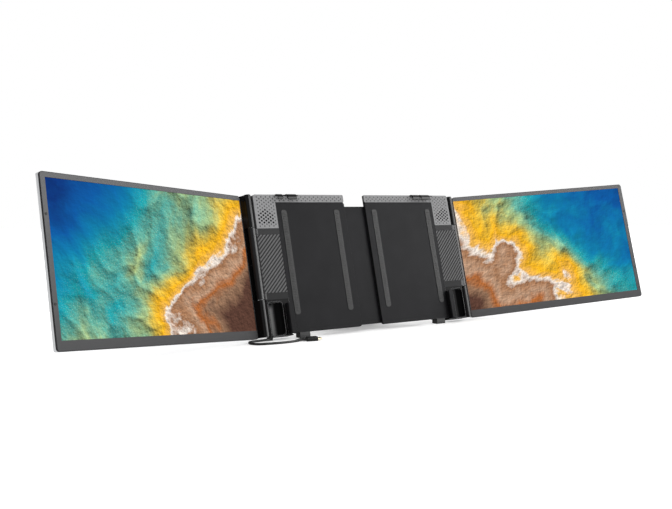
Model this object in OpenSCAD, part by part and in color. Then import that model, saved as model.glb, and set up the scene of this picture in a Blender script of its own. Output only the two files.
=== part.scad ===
// Dual-screen extender: two folding screens on a telescopic frame that leans on its kickstand.
// Frame pieces are drawn upright, x outward from the mid-line, y to the rear, z up the frame,
// then mirrored for the left side and leaned back. Screens are drawn from their hinge axis.

/* [Stand] */
// Angle that the frame leans back from upright
lean = 14.2; // [12:0.2:16]
// Height of the frame's lower front edge above the table
stand_h = 5.8; // [5.6:0.1:8]
// Front feet: distance from the mid-line
foot_in = 128; // [126:1:132]
// Front feet: width
foot_w = 18; // [12:0.5:22]
// Front feet: depth, front to rear
foot_d = 12; // [8:0.5:14]

/* [Column] */
// Distance from the mid-line to a column's inner side
col_in = 158; // [156:0.5:160]
// Distance from the mid-line to a column's outer side
col_out = 196; // [195.5:0.25:196.5]
// Depth of a column, front to rear
col_d = 17; // [17:0.5:20]
// Height of the frame
frame_h = 214; // [213.5:0.5:218]
// Thickness of the front trims
trim_t = 2; // [1.6:0.1:2.4]
// Thickness of the rear cover
cover_t = 2; // [1.6:0.1:2.4]
// Radius of a column's rear outer edge
col_r = 3; // [1:0.5:4]
// Radius of a column's top outer corner
corner_r = 3.5; // [1:0.5:6]

/* [Half plates] */
// Thickness of a half plate
plate_t = 4.5; // [4:0.1:4.7]
// Inner end of the left half plate, from the mid-line
plate_in_left = 29; // [24:1:40]
// Inner end of the right half plate, from the mid-line
plate_in_right = 13; // [12:1:30]
// Lower edge of the half plates
plate_z = 3; // [1:0.5:10]
// Height of the dotted rail along the top edge
rail_h = 12; // [8:0.5:16]

/* [Host lid] */
// Half the width of the widest lid
lid_half = 161.5; // [160.5:0.25:162]
// Thickness of the thickest lid
lid_t = 6; // [4.5:0.1:6.5]
// Thickness of the soft pads behind the lid
pad_t = 0.7; // [0.4:0.1:0.8]
// Play between the lid and the jaws and claws
lid_play = 0.3; // [0.2:0.1:0.6]

/* [Jaws] */
// Thickness of the lip in front of the lid
lip_t = 2; // [1.6:0.1:2.4]
// How far the lip reaches over the lid
lip_reach = 5; // [3:0.5:8]
// Thickness of the leg beside the lid
leg_t = 3.9; // [3:0.1:4.2]
// Height of a jaw
jaw_h = 46; // [36:1:47]
// Lower end of a jaw
jaw_z = 2; // [1.5:0.5:3]
// Running play of a jaw in its pocket
jaw_play = 0.2; // [0.15:0.05:0.3]

/* [Claws] */
// Radius of a claw's barrel
claw_r = 2.4; // [2:0.1:2.6]
// Radius of the claw pins
claw_pin_r = 1; // [0.8:0.1:1.2]
// Thickness of a claw's fingers
finger_t = 1.7; // [1.4:0.1:2]
// Radius of the bend from a claw's bar to its fingers
finger_bend = 6; // [5:0.5:7]
// Length of the fingers below the frame's top edge
finger_drop = 9.3; // [7:0.1:10]

/* [Grip and ribs] */
// Width of the grip trough
grip_w = 24; // [20:0.5:24.5]
// Depth of the grip trough
grip_d = 9; // [6:0.5:9.5]
// Height of the grip trough
grip_h = 49; // [42:1:50]
// Lower end of the grip trough up the frame
grip_z = 1.8; // [1.6:0.1:3]
// Distance from the grip trough to the column's outer side
grip_edge = 1.4; // [1.4:0.1:2.6]
// Wall of the grip trough
grip_wall = 1.2; // [0.8:0.1:1.3]
// Lower end of the ribbed pad
ribs_z = 65; // [62:1:70]
// Height of the ribbed pad
ribs_h = 87.5; // [80:0.5:90]
// Pitch of the ribs, square to them
rib_pitch = 4.4; // [3.6:0.1:6]
// Width of a rib
rib_w = 2.2; // [1.6:0.1:3]
// Radius of the plain bands' corners beside the ribs
band_r = 2; // [1:0.2:3]

/* [Grille] */
// Lower edge of the grille panel
grille_z = 162; // [160:0.5:164]
// Radius of a sound hole
hole_r = 1.3; // [0.9:0.05:1.35]
// Pitch of the holes along a row
hole_pitch = 8; // [7:0.5:9]
// Pitch of the rows
row_pitch = 2.8; // [2.6:0.1:3]
// Height of the lowest row of holes above the panel's lower edge
holes_z = 9; // [6:0.5:11]

/* [Screen hinges] */
// Radius of the hinge barrels
barrel_r = 5.5; // [5:0.1:5.6]
// Radius of the hinge pins
hinge_pin_r = 2; // [1.5:0.1:2.5]
// Left hinge axis, outward from the mid-line
hinge_x_left = 207; // [206.5:0.25:208]
// Left hinge axis, rearward of the frame's front face
hinge_y_left = -1.4; // [-2:0.1:-1]
// Right hinge axis, outward from the mid-line
hinge_x_right = 204.6; // [204.25:0.25:205.5]
// Right hinge axis, rearward of the frame's front face
hinge_y_right = 5.2; // [5:0.1:5.6]
// Top of the lower screen knuckles
break_low = 55; // [52:0.5:58]
// Foot of the upper screen knuckles
break_high = 162; // [158:0.5:164]
// Gap between the knuckles
knuckle_gap = 0.3; // [0.2:0.05:0.5]

/* [Screens] */
// Forward swing of the left screen as it stands
swing_left = 18.8; // [10:0.2:30]
// Forward swing of the right screen as it stands
swing_right = 17.3; // [10:0.2:30]
// Width of the picture
picture_w = 344.2; // [330:0.1:350]
// Height of the picture
picture_h = 193.6; // [188:0.1:194]
// Thickness of a screen
screen_t = 8.5; // [8:0.1:8.5]
// Inner edge of the left picture, outward of its hinge axis
picture_in_left = 7.6; // [7.6:0.1:9]
// Inner edge of the right picture, outward of its hinge axis
picture_in_right = 11.4; // [11.4:0.1:12.5]
// Bezel beside the hinge
bezel_in = 1.5; // [1.4:0.1:2]
// Bezel along the outer edge
bezel_out = 7.5; // [6:0.5:12]
// Bezel along the top edge
bezel_top = 6.9; // [6:0.1:8]
// Bezel along the lower edge
bezel_low = 12.7; // [12:0.1:13]
// Thickness of the front bezel
bezel_t = 0.8; // [0.6:0.1:1]
// Thickness of the panel with its backlight
panel_t = 2.8; // [2.4:0.1:3.2]
// Wall of the back cover
skin_t = 1; // [0.8:0.1:1.2]
// Height of the picture's lower edge up the frame
picture_z = 12.1; // [12:0.1:13.5]
// Radius of a screen's corners
screen_r = 4.5; // [3:0.5:6]
// How far the bumpers stand proud
bumper_t = 0.6; // [0.4:0.1:0.6]

/* [Keys] */
// Length of a key
key_w = 7; // [5:0.5:9]
// Depth of a key
key_t = 2.4; // [2:0.1:2.8]
// How far a key stands proud
key_proud = 0.7; // [0.4:0.1:1]
// Travel of a key
key_travel = 0.6; // [0.4:0.1:0.7]

/* [Bridge] */
// Half the width of the bridge
bridge_half = 100; // [90:1:105]
// Lower edge of the bridge
bridge_low = 6; // [5.8:0.2:8]
// Upper edge of the bridge
bridge_high = 196; // [192:1:200]
// Running gap between the half plates and the bridge
bridge_gap = 0.3; // [0.2:0.05:0.4]
// Wall of the bridge
bridge_wall = 1.8; // [1.4:0.1:2]
// Thickness of the slide bars
bar_t = 3; // [2.5:0.1:3]
// Height of the slide bars
bar_h = 8; // [6:0.5:9]
// Inner end of the slide bars, from the mid-line
bar_in = 40; // [36:1:50]
// Running play of the slide bars in the bridge
bar_play = 0.15; // [0.1:0.05:0.2]

/* [Kickstand] */
// Height of the kickstand's pivot up the frame
kick_z = 178; // [176:1:182]
// Angle between the open kickstand and the frame
kick_open = 22.6; // [21:0.2:24]
// Width of the kickstand
kick_w = 120; // [100:2:140]
// Thickness of the kickstand
kick_t = 1.8; // [1.5:0.1:1.9]
// Radius of the kickstand's barrels
kick_r = 2.1; // [1.9:0.05:2.2]
// Radius of the kickstand's pin
kick_pin_r = 1.25; // [1:0.05:1.3]

/* [Cable] */
// Diameter of the cable
cable_d = 3.5; // [2.8:0.1:3.6]
// Length of the plug's grip
plug_w = 19; // [16:0.5:24]
// Width of the plug's grip
plug_d = 11; // [9:0.5:12]
// Thickness of the plug's grip
plug_t = 6.4; // [5.8:0.1:7]

/* [Hidden] */
$fn = 48;
LEFT = 0;
RIGHT = 1;
SIDES = ["left", "right"];
FRAME_PIECES = ["frame_shell", "front_trim", "rib_pad", "grille_panel", "speaker", "control_board",
  "rear_cover", "cover_screws", "lid_pads", "hinge_pins", "jaw", "claw", "claw_pin", "foot", "slide_bars"];
SCREEN_PIECES = ["bezel", "lcd_panel", "back_cover", "driver_board", "upper_knuckle", "lower_knuckle",
  "power_key", "menu_key", "bumpers"];
CENTRE_PIECES = ["bridge_front", "bridge_rear", "kickstand", "kickstand_pin", "kickstand_foot",
  "cable_gland", "cable", "plug_body", "plug_shell"];

fit = 0.05;            // radial clearance of a pin in its hole
seam = 0.1;            // gap between a cover and its rebate
big = 400;             // larger than any piece

plate_in = [plate_in_left, plate_in_right];
hinge_x = [hinge_x_left, hinge_x_right];
hinge_y = [hinge_y_left, hinge_y_right];
swing = [swing_left, swing_right];
swing_range = [180, 168.5];

// Front plane of each flat screen behind its hinge axis: the folded right screen lies just clear of
// the plates, and the folded left screen just clear of the right one.
fold_gap = 1.15;
stack_gap = 0.75;
face_w = [hinge_y[LEFT] + fold_gap + screen_t + stack_gap, hinge_y[RIGHT] + fold_gap];
picture_u = [picture_in_left, picture_in_right];
edge_u = [picture_u[LEFT] - bezel_in, picture_u[RIGHT] - bezel_in];
screen_w = bezel_in + picture_w + bezel_out;
screen_low = picture_z - bezel_low;
screen_high = picture_z + picture_h + bezel_top;

lip_y = -(pad_t + lid_t + lid_play);
jaw_front = lip_y - lip_t;
jaw_rear = 5;
jaw_x = lid_half + 0.7;
jaw_travel = 0.2 - jaw_front;
cover_y = col_d - cover_t;

// Fingers of the claws as [from, to], outward from the mid-line
fingers = [[[123, 139], [148, 157]], [[111, 125], [130, 149]]];
claw_x = [[115, 157], [111, 162.5]];
claw_y = plate_t + claw_r + 0.3;
claw_z = frame_h - claw_r;
claw_low = claw_z - 7;
ear_t = 2.2;

// Outer edge of the column between the screen knuckles, where the frame's knuckle joins it
mid_out = [col_out + 2, col_out + 7];
// Outer edge of the plain bands above and below the ribs
band_out = [col_out - 0.8, col_out + 0.8];
grip_x = col_out - grip_edge - grip_w;
grip_r = (pow(grip_w / 2, 2) + pow(grip_d, 2)) / (2 * grip_d);

// Speaker chamber and board, from and to
speaker_x = [col_in + 6.5, col_out - 4];
speaker_z = [grille_z + 4.5, frame_h - 11];
board_x = [col_in + 11, col_out - 7];
board_z = [ribs_z + 5, ribs_z + ribs_h - 4.5];

bar_y = plate_t + bridge_gap + 2.7;
bar_z = [[54, 136], [72, 154]];
bridge_y = plate_t + bridge_gap;
bridge_split = 11.4;
kick_y = col_d - 2.4;
kick_recess = kick_y - kick_t / 2 - 0.3;
foot_strip = 4;

// The kickstand is as long as it takes to reach the table
kick_pivot_h = stand_h + kick_z * cos(lean) - kick_y * sin(lean);
kick_tip = 1.5;
kick_len = (kick_pivot_h - kick_tip * sin(kick_open - lean)) / cos(kick_open - lean);

// Cable: route on the table from the gland to the plug, and the straight ends
gland = [-199.5, 4.4, 2.1];
gland_stem = 5.3;       // distance of the gland's stem from its mouth
gland_stem_h = 3.4;
plug_at = [-158.5, -29.2, 3.2];
plug_turn = -12;
CABLE_ROUTE = [gland, [-204, 4.4, 2.1], [-209, 4.4, 1.9], [-215, 4.4, 1.8], [-222.5, 4.1, 1.8],
  [-230.6, 1.8, 1.8], [-236.5, -3.4, 1.8], [-238.7, -10.8, 1.8], [-236.5, -18.2, 1.8],
  [-230.6, -23.6, 1.8], [-222.5, -26.4, 1.8], [-212, -28.4, 1.8], [-202, -29.8, 1.8],
  [-192, -30.4, 1.8], [-182, -30, 1.8], [-174, -29, 2], [-167.5, -28, 2.7],
  [-162.5, -28.35, 3.2], plug_at];

module on_side(i) {
  mirror([i == LEFT ? 1 : 0, 0, 0]) children();
}

module leaned() {
  translate([0, 0, stand_h]) rotate([-lean, 0, 0]) children();
}

module framed(i) {
  leaned() on_side(i) children();
}

// Undoes the lean, for a bore that stands upright in a leaning piece
module unframed() {
  rotate([lean, 0, 0]) translate([0, 0, -stand_h]) children();
}

// Places a piece drawn for the flat screen, at the swing in which the screen stands
module hinged(i) {
  framed(i) translate([hinge_x[i], hinge_y[i], 0]) rotate([0, 0, -swing[i]]) children();
}

// Box from one corner to the other
module block(from, to) {
  translate(from) cube(to - from);
}

// Bar with a rounded front outline, drawn from y0 to y1
module slab(x0, x1, z0, z1, y0, y1, r) {
  translate([0, y1, 0]) rotate([90, 0, 0]) linear_extrude(y1 - y0) outline(x0, x1, z0, z1, r);
}

module outline(x0, x1, z0, z1, r) {
  translate([x0 + r, z0]) square([x1 - x0 - 2 * r, z1 - z0]);
  translate([x0, z0 + r]) square([x1 - x0, z1 - z0 - 2 * r]);
  for (x = [x0 + r, x1 - r], z = [z0 + r, z1 - r]) translate([x, z]) circle(r);
}

// Cuts the rounded top outer corner of a column
module corner_cut() {
  translate([col_out - corner_r, col_d + 1, frame_h - corner_r]) rotate([90, 0, 0])
    linear_extrude(col_d + 2) difference() {
      square(corner_r + 1);
      circle(corner_r);
    }
}

module bore(x, y, z, r, h) {
  translate([x, y, z]) cylinder(r = r, h = h);
}

// ---- Frame halves ----

module column_section() {
  union() {
    translate([col_in, trim_t]) square([col_out - col_in, col_d - trim_t - col_r]);
    translate([col_in, trim_t]) square([col_out - col_in - col_r, col_d - trim_t]);
    translate([col_out - col_r, col_d - col_r]) circle(col_r);
  }
}

// Web between a column and the frame's own knuckle
module knuckle_web(i) {
  x = hinge_x[i];
  y = hinge_y[i];
  tangent = [110, 98][i];
  polygon([[mid_out[i], 0], [x + barrel_r * cos(tangent), y - barrel_r * sin(tangent)], [x, y],
    [x, y + barrel_r], [col_out - 0.5, y + barrel_r + 4], [col_out - 6, y + barrel_r + 4],
    [col_out - 6, trim_t], [mid_out[i], trim_t]]);
}

module grip_space(grow) {
  intersection() {
    translate([grip_x + grip_w / 2, grip_d - grip_r, grip_z - 5])
      cylinder(r = grip_r + grow, h = grip_h + 10, $fn = 96);
    slab(grip_x - grow, grip_x + grip_w + grow, grip_z - grow, grip_z + grip_h + grow,
      -2, col_d, 4 + grow);
  }
}

// Pocket that a jaw slides in, with the recess that takes its lip
module jaw_space() {
  block([jaw_x - jaw_play, -1, jaw_z - jaw_play],
    [jaw_x + leg_t + jaw_play, cover_y, jaw_z + jaw_h + jaw_play]);
  block([lid_half - lip_reach - 0.4, -1, jaw_z - jaw_play],
    [jaw_x, lip_t + 0.5, jaw_z + jaw_h + jaw_play]);
}

module cover_outline(grow) {
  outline(col_in + 1.5 - grow, col_out - col_r + 0.2 + grow, 2 - grow, frame_h - 2 + grow, 2);
}

module cover_screw_places() {
  for (x = [col_in + 11.5, col_out - 7], z = [ribs_z - 7.5, grille_z - 3.5])
    translate([x, 0, z]) children();
}

// Outer side of the room behind a claw
function notch_out(i) = max(claw_x[i][1], col_in) + 4.5;

// Notch in the frame's top edge that a claw lies in
module claw_notch(i) {
  block([claw_x[i][0] - 0.2, -1, frame_h - finger_t - 0.3],
    [claw_x[i][1] + 0.2, plate_t + 0.01, frame_h + 1]);
}

module frame_shell(i) {
  color("#313235") framed(i) difference() {
    union() {
      linear_extrude(frame_h) column_section();
      slab(plate_in[i], col_in + 6, plate_z, frame_h - rail_h, 0, plate_t, 4);
      block([plate_in[i] + 6, trim_t, frame_h - rail_h - 8], [col_in + 1, plate_t, frame_h]);
      slab(plate_in[i], col_in, frame_h - rail_h - 12, frame_h, trim_t, plate_t, 2);
      // Ledge that the rubber foot is bonded to
      block([foot_in - 2, 0, plate_z], [foot_in + foot_w + 2, foot_d + 1, plate_z + 3.5]);
      translate([0, 0, break_low + knuckle_gap])
        linear_extrude(break_high - break_low - 2 * knuckle_gap) {
          translate([hinge_x[i], hinge_y[i]]) circle(barrel_r);
          knuckle_web(i);
        }
      // Ears of the claw's pivot
      for (x = [claw_x[i][0] - ear_t - 0.2, claw_x[i][1] + 0.2])
        translate([x, claw_y, claw_z]) rotate([90, 0, 90]) {
          cylinder(r = claw_r, h = ear_t);
          translate([-claw_r - 0.5, -7, 0]) cube([2 * claw_r + 0.5, 7, ear_t]);
        }
    }
    // The trim takes the front of the column, and of the web beside it
    block([col_in, -1, -1], [mid_out[i], trim_t, frame_h - rail_h + 1]);
    corner_cut();
    claw_notch(i);
    // Room behind the claw
    block([col_in - 0.01, plate_t, claw_low], [claw_x[i][1] + 0.2, col_d + 1, frame_h + 1]);
    block([claw_x[i][1] + 0.2 + ear_t, plate_t, claw_low], [notch_out(i), col_d + 1, frame_h + 1]);
    block([col_in - 0.01, claw_y + claw_r, claw_low], [notch_out(i), col_d + 1, frame_h + 1]);
    grip_space(grip_wall + seam);
    jaw_space();
    // Speaker chamber and board bay, closed by the rear cover
    slab(speaker_x[0], speaker_x[1], speaker_z[0], speaker_z[1], 0, col_d, 3);
    slab(board_x[0] - 1.5, board_x[1] + 2.5, board_z[0] - 4, board_z[1] + 4, 6, col_d, 2);
    translate([0, col_d + 1, 0]) rotate([90, 0, 0]) linear_extrude(cover_t + seam + 1)
      cover_outline(seam);
    cover_screw_places() rotate([-90, 0, 0]) cylinder(r = 1 + fit, h = col_d);
    for (z = bar_z[i])
      block([0, bar_y - fit, z - fit], [col_in + 6, bar_y + bar_t + fit, z + bar_h + fit]);
    for (z = [break_low - 18, break_high - 18])
      bore(hinge_x[i], hinge_y[i], z, hinge_pin_r + fit, 36);
    translate([claw_x[i][0] - ear_t - 0.4, claw_y, claw_z]) rotate([0, 90, 0])
      cylinder(r = claw_pin_r + fit, h = claw_x[i][1] - claw_x[i][0] + 2 * ear_t + 0.8);
    if (i == LEFT) unframed() translate([-gland.x - gland_stem, gland.y, gland.z])
      cylinder(r = 1.3 + fit, h = gland_stem_h + fit);
  }
}

// Moulded front from the table to the grille: grip trough, ribbed pad's tray and plain bands
module front_trim(i) {
  color("#3c3d3f") framed(i) {
    difference() {
      union() {
        block([col_in, 0, 0], [col_out, trim_t, break_low]);
        block([col_in, 0, break_low], [mid_out[i], trim_t, grille_z]);
        grip_space(grip_wall);
      }
      block([0, -3, -1], [col_in, col_d, frame_h]);
      block([0, -3, -1], [big, 0, frame_h]);
      jaw_space();
      translate([0, 1.2, 0]) rotate([90, 0, 0]) linear_extrude(3) pad_outline(i, seam);
      grip_space(0);
    }
    // Rim round the trough
    difference() {
      slab(grip_x - 1, grip_x + grip_w + 1, grip_z - 1, grip_z + grip_h + 1, -0.4, 0.2, 5);
      slab(grip_x, grip_x + grip_w, grip_z, grip_z + grip_h, -1, 1, 4);
    }
  }
}

// Fills the strip's inner corners, round which the plain bands' corners run
module band_corners(i, grow) {
  for (k = [-1, 1]) translate([band_out[i] + 0.1 - grow - band_r, ribs_z + ribs_h / 2])
    mirror([0, k < 0 ? 1 : 0]) translate([0, ribs_h / 2 + grow]) difference() {
      square([band_r + 0.01, band_r]);
      translate([0, band_r]) circle(band_r);
    }
}

// Outline of the ribbed pad, with the strip that runs beside the plain bands to the hinge
module pad_outline(i, grow) {
  x1 = mid_out[i] - 0.5 + grow;
  band_corners(i, grow);
  translate([col_in + 0.2 - grow, ribs_z - grow])
    square([x1 - col_in - 0.2 + grow, ribs_h + 2 * grow]);
  translate([band_out[i] + 0.1 - grow, break_low + 0.8 - grow])
    square([x1 - band_out[i] - 0.1 + grow, grille_z - break_low - 1.6 + 2 * grow]);
}

// Pad with slanted ribs, which rise to the right on both columns
module rib_pad(i) {
  x0 = col_in + 0.2;
  x1 = mid_out[i] - 0.5;
  rise = i == LEFT ? 1 : -1;
  count = ceil((x1 - x0 + ribs_h) / rib_pitch / 1.4);
  color("#5f6062") framed(i) {
    translate([0, 1.2, 0]) rotate([90, 0, 0]) linear_extrude(0.7) pad_outline(i, 0);
    block([band_out[i] + 0.1, 0, break_low + 0.8], [x1, 0.6, ribs_z - 0.6]);
    block([band_out[i] + 0.1, 0, ribs_z + ribs_h + 0.6], [x1, 0.6, grille_z - 0.8]);
    difference() {
      translate([0, 0.6, 0]) rotate([90, 0, 0]) linear_extrude(0.6) band_corners(i, 0);
      block([x0, -1, ribs_z - 0.6], [x1, 1, ribs_z + ribs_h + 0.6]);
    }
    intersection() {
      block([x0, 0, ribs_z], [x1, 0.6, ribs_z + ribs_h]);
      translate([(x0 + x1) / 2, 0, ribs_z + ribs_h / 2]) rotate([0, 45 * rise, 0])
        for (k = [-count : count])
          translate([-big / 2, 0, k * rib_pitch - rib_w / 2]) cube([big, 0.6, rib_w]);
    }
  }
}

// Holes in row k, counted from the lowest row, of the staggered sound field. The right field's
// three upper rows stand half a pitch further out.
function row_holes(i, k) = [[4, 3, 4, 3, 4, 3, 2, 1], [3, 4, 3, 4, 3, 3, 2, 1]][i][k];
function row_shift(i, k) = i == RIGHT && k > 4 ? hole_pitch / 2 : 0;

module grille_panel(i) {
  middle = col_in + 20;
  rows = floor((frame_h - 4 - grille_z) / row_pitch);
  across = ceil((middle - plate_in[i]) / hole_pitch);
  color("#97989a") framed(i) difference() {
    union() {
      block([col_in, 0, grille_z + 0.05], [col_out, trim_t, frame_h]);
      slab(plate_in[i], col_in + 3, frame_h - rail_h + 0.05, frame_h, 0, trim_t, 1.5);
    }
    corner_cut();
    claw_notch(i);
    for (k = [0 : rows - 1])
      for (j = [-across : 2]) {
        stagger = (k + i) % 2 == 0 ? hole_pitch / 2 : 0;
        x = middle + j * hole_pitch + stagger;
        z = grille_z + 3.4 + k * row_pitch;
        row = round((z - grille_z - holes_z) / row_pitch);
        through = row >= 0 && row < 8 && abs(x - middle - row_shift(i, row))
          <= (row_holes(i, max(0, min(7, row))) - 1) * hole_pitch / 2 + 0.1;
        inner = z > frame_h - rail_h + 1.6 ? plate_in[i] + 3 : col_in + 2;
        if (x > inner && x < col_out - 2)
          translate([x, through ? -1 : -0.2, z]) rotate([-90, 0, 0])
            cylinder(r = through ? hole_r : hole_r * 0.85, h = through ? trim_t + 2 : 1, $fn = 16);
      }
  }
}

module speaker(i) {
  x = (speaker_x[0] + speaker_x[1]) / 2;
  z = (speaker_z[0] + speaker_z[1]) / 2;
  wide = (speaker_x[1] - speaker_x[0]) / 2 - 1.25;
  high = (speaker_z[1] - speaker_z[0]) / 2 - 0.25;
  r = min(wide * 0.88, high * 0.61);
  color("#1c1d1f") framed(i) difference() {
    union() {
      slab(x - wide, x + wide, z - high, z + high, trim_t + 0.1, trim_t + 3, 4);
      translate([x, trim_t + 2.5, z]) rotate([-90, 0, 0]) cylinder(r1 = r, r2 = r * 0.77, h = 4);
      translate([x, trim_t + 6, z]) rotate([-90, 0, 0]) cylinder(r = r * 0.77, h = 4);
    }
    // Cone
    translate([x, trim_t, z]) rotate([-90, 0, 0]) cylinder(r1 = r * 0.95, r2 = r * 0.36, h = 3);
  }
}

module control_board(i) {
  x0 = board_x[0];
  z0 = board_z[0];
  color("#1f5c3a") framed(i) {
    block([x0, 6.1, z0], [board_x[1], 7.3, board_z[1]]);
    for (z = [z0 + 8, z0 + 30, board_z[1] - 22]) block([x0 + 4, 7.2, z], [x0 + 14, 8.6, z + 12]);
    for (z = [z0 + 22, board_z[1] - 30]) block([x0 + 1, 7.2, z], [x0 + 8, 9.8, z + 5]);
    if (i == LEFT) block([x0 + 5, 7.2, board_z[1] - 6], [x0 + 15, 10.4, board_z[1]]);
  }
}

module rear_cover(i) {
  color("#2b2c2e") framed(i) difference() {
    translate([0, col_d, 0]) rotate([90, 0, 0]) linear_extrude(cover_t) cover_outline(0);
    block([0, 0, claw_low - seam], [notch_out(i) + seam, col_d + 1, frame_h]);
    cover_screw_places() {
      rotate([-90, 0, 0]) cylinder(r = 1 + fit, h = col_d + 1);
      translate([0, col_d - 1.2, 0]) rotate([-90, 0, 0]) cylinder(r = 1.9 + fit, h = 2);
    }
    // Row of vent slots over the board
    for (z = [board_z[0] + 6 : 6 : board_z[1] - 6]) slab(col_in + 15, col_out - 10, z, z + 2, cover_y - 1, col_d + 1, 0.9);
  }
}

module cover_screws(i) {
  color("#8d8f92") framed(i) cover_screw_places() difference() {
    union() {
      translate([0, 9, 0]) rotate([-90, 0, 0]) cylinder(r = 1, h = col_d - 10);
      translate([0, col_d - 1.15, 0]) rotate([-90, 0, 0]) cylinder(r = 1.9, h = 1.05);
    }
    // Cross recess
    for (turn = [0, 90]) rotate([0, turn, 0])
      block([-1.1, col_d - 0.6, -0.25], [1.1, col_d + 1, 0.25]);
  }
}

module lid_pads(i) {
  color("#242527") framed(i) for (x = [plate_in[i] + 12, lid_half - 21.5])
    slab(x, x + 10, 30, frame_h - 24, -pad_t, 0, 4);
}

module hinge_pins(i) {
  color("#b4b6b9") framed(i) for (z = [break_low - 17.5, break_high - 17.5])
    bore(hinge_x[i], hinge_y[i], z, hinge_pin_r, 35);
}

// Jaw beside the lid: a leg that slides in its pocket and a lip that hooks over the lid
module jaw(i) {
  color("#1a1b1d") framed(i) intersection() {
    translate([0, 0, jaw_z]) linear_extrude(jaw_h) polygon([
      [lid_half - lip_reach, lip_y], [lid_half - lip_reach, jaw_front + 0.7],
      [lid_half - lip_reach + 0.7, jaw_front], [jaw_x + leg_t - 1.2, jaw_front],
      [jaw_x + leg_t, jaw_front + 1.2], [jaw_x + leg_t, jaw_rear], [jaw_x, jaw_rear],
      [jaw_x, lip_y]]);
    slab(lid_half - lip_reach, jaw_x + leg_t + 8, jaw_z, jaw_z + jaw_h, jaw_front - 1, jaw_rear + 1, 3);
  }
}

// Side section of a claw's finger, with y along the frame's depth
module finger_section() {
  front = lip_y - finger_t;
  low = frame_h - finger_drop;
  bend = frame_h - finger_bend;
  translate([front + finger_bend, bend]) intersection() {
    difference() {
      circle(finger_bend);
      circle(finger_bend - finger_t);
    }
    translate([-finger_bend, 0]) square(finger_bend);
  }
  translate([front + finger_bend, frame_h - finger_t])
    square([claw_y - front - finger_bend, finger_t]);
  translate([front, low + finger_t / 2]) square([finger_t, bend - low - finger_t / 2]);
  translate([front + finger_t / 2, low + finger_t / 2]) circle(finger_t / 2);
}

module claw(i) {
  x0 = claw_x[i][0];
  x1 = claw_x[i][1];
  color("#161718") framed(i) difference() {
    union() {
      for (f = fingers[i]) translate([f[0], 0, 0]) rotate([90, 0, 90])
        linear_extrude(f[1] - f[0]) finger_section();
      // Bar that joins the fingers, and the barrel on the pin
      block([x0, 0, frame_h - finger_t], [x1, claw_y, frame_h]);
      translate([x0, claw_y, claw_z]) rotate([0, 90, 0]) cylinder(r = claw_r, h = x1 - x0);
    }
    translate([x0 - 1, claw_y, claw_z]) rotate([0, 90, 0])
      cylinder(r = claw_pin_r + fit, h = x1 - x0 + 2);
  }
}

module claw_pin(i) {
  x0 = claw_x[i][0] - ear_t - 0.2;
  color("#b4b6b9") framed(i) translate([x0, claw_y, claw_z]) rotate([0, 90, 0])
    cylinder(r = claw_pin_r, h = claw_x[i][1] - claw_x[i][0] + 2 * ear_t + 0.4);
}

// Rubber foot, level below and leaned above, where it carries the half plate
module foot(i) {
  color("#151617") difference() {
    on_side(i) block([foot_in, -0.3, 0], [foot_in + foot_w, foot_d, stand_h + plate_z + 2]);
    leaned() translate([-big, -big, plate_z - 0.01]) cube([2 * big, 2 * big, big]);
    leaned() translate([-big, -big, -big]) cube([2 * big, big, 2 * big]);
  }
}

module slide_bars(i) {
  color("#a9abae") framed(i) for (z = bar_z[i])
    block([bar_in, bar_y, z], [col_in + 6 - fit, bar_y + bar_t, z + bar_h]);
}

// ---- Screens, drawn flat from the hinge axis: x outward, y to the rear ----

module upper_knuckle(i) {
  knuckle(i, break_high + knuckle_gap, screen_high, 1);
}

module lower_knuckle(i) {
  knuckle(i, 0.4, break_low - knuckle_gap, -1);
}

// Barrel with the arm that carries the screen; the outer end of the barrel is bevelled
module knuckle(i, z0, z1, way) {
  e = edge_u[i] - 0.02;
  f = face_w[i];
  middle = (break_low + break_high) / 2 + way * seam;
  a = i == LEFT ? -6 : e - 3;
  color("#232426") hinged(i) difference() {
    union() {
      translate([0, 0, way > 0 ? z0 : z0 + 0.8]) cylinder(r = barrel_r, h = z1 - z0 - 0.8);
      translate([0, 0, way > 0 ? z1 - 0.8 : z0])
        cylinder(r1 = way > 0 ? barrel_r : barrel_r - 0.8, r2 = way > 0 ? barrel_r - 0.8 : barrel_r,
          h = 0.8);
      translate([0, 0, z0 + 0.3]) linear_extrude(z1 - z0 - 0.9)
        polygon([[0, 0], [-3.5, 4.2], [e - 3.2, f + screen_t - 2], [e - 1.7, f + screen_t - 0.2],
          [e, f + screen_t - 0.2], [e, f + 0.3], [min(e, barrel_r + 1.3), f + 0.1],
          [barrel_r - 0.3, 1.4]]);
      // Flange along the screen's edge, behind the frame's own knuckle
      translate([0, 0, way > 0 ? middle : z0 + 0.3])
        linear_extrude(way > 0 ? z1 - middle - 0.6 : middle - z0 - 0.3)
          polygon([[a, f + 1], [a, f + 4.5], [e - 1.7, f + screen_t - 0.2],
            [e, f + screen_t - 0.2], [e, f + 0.3]]);
    }
    translate([0, 0, way > 0 ? z0 - 1 : z1 - 18])
      cylinder(r = hinge_pin_r + fit, h = 19 - (way > 0 ? knuckle_gap : 0));
  }
}

// Slab with a rounded outline and softly rounded rear edges
module screen_body(i, inset, y0, y1, edge) {
  x0 = edge_u[i] + inset;
  x1 = edge_u[i] + screen_w - inset;
  z0 = screen_low + inset;
  z1 = screen_high - inset;
  intersection() {
    slab(x0, x1, z0, z1, y0, y1, max(screen_r - inset, 1));
    translate([0, 0, z0]) linear_extrude(z1 - z0) soft_section(x0, x1, y0, y1, edge);
    translate([x0, 0, 0]) rotate([90, 0, 90]) linear_extrude(x1 - x0)
      translate([0, 0]) mirror([1, -1]) soft_section(z0, z1, y0, y1, edge);
  }
}

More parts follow.
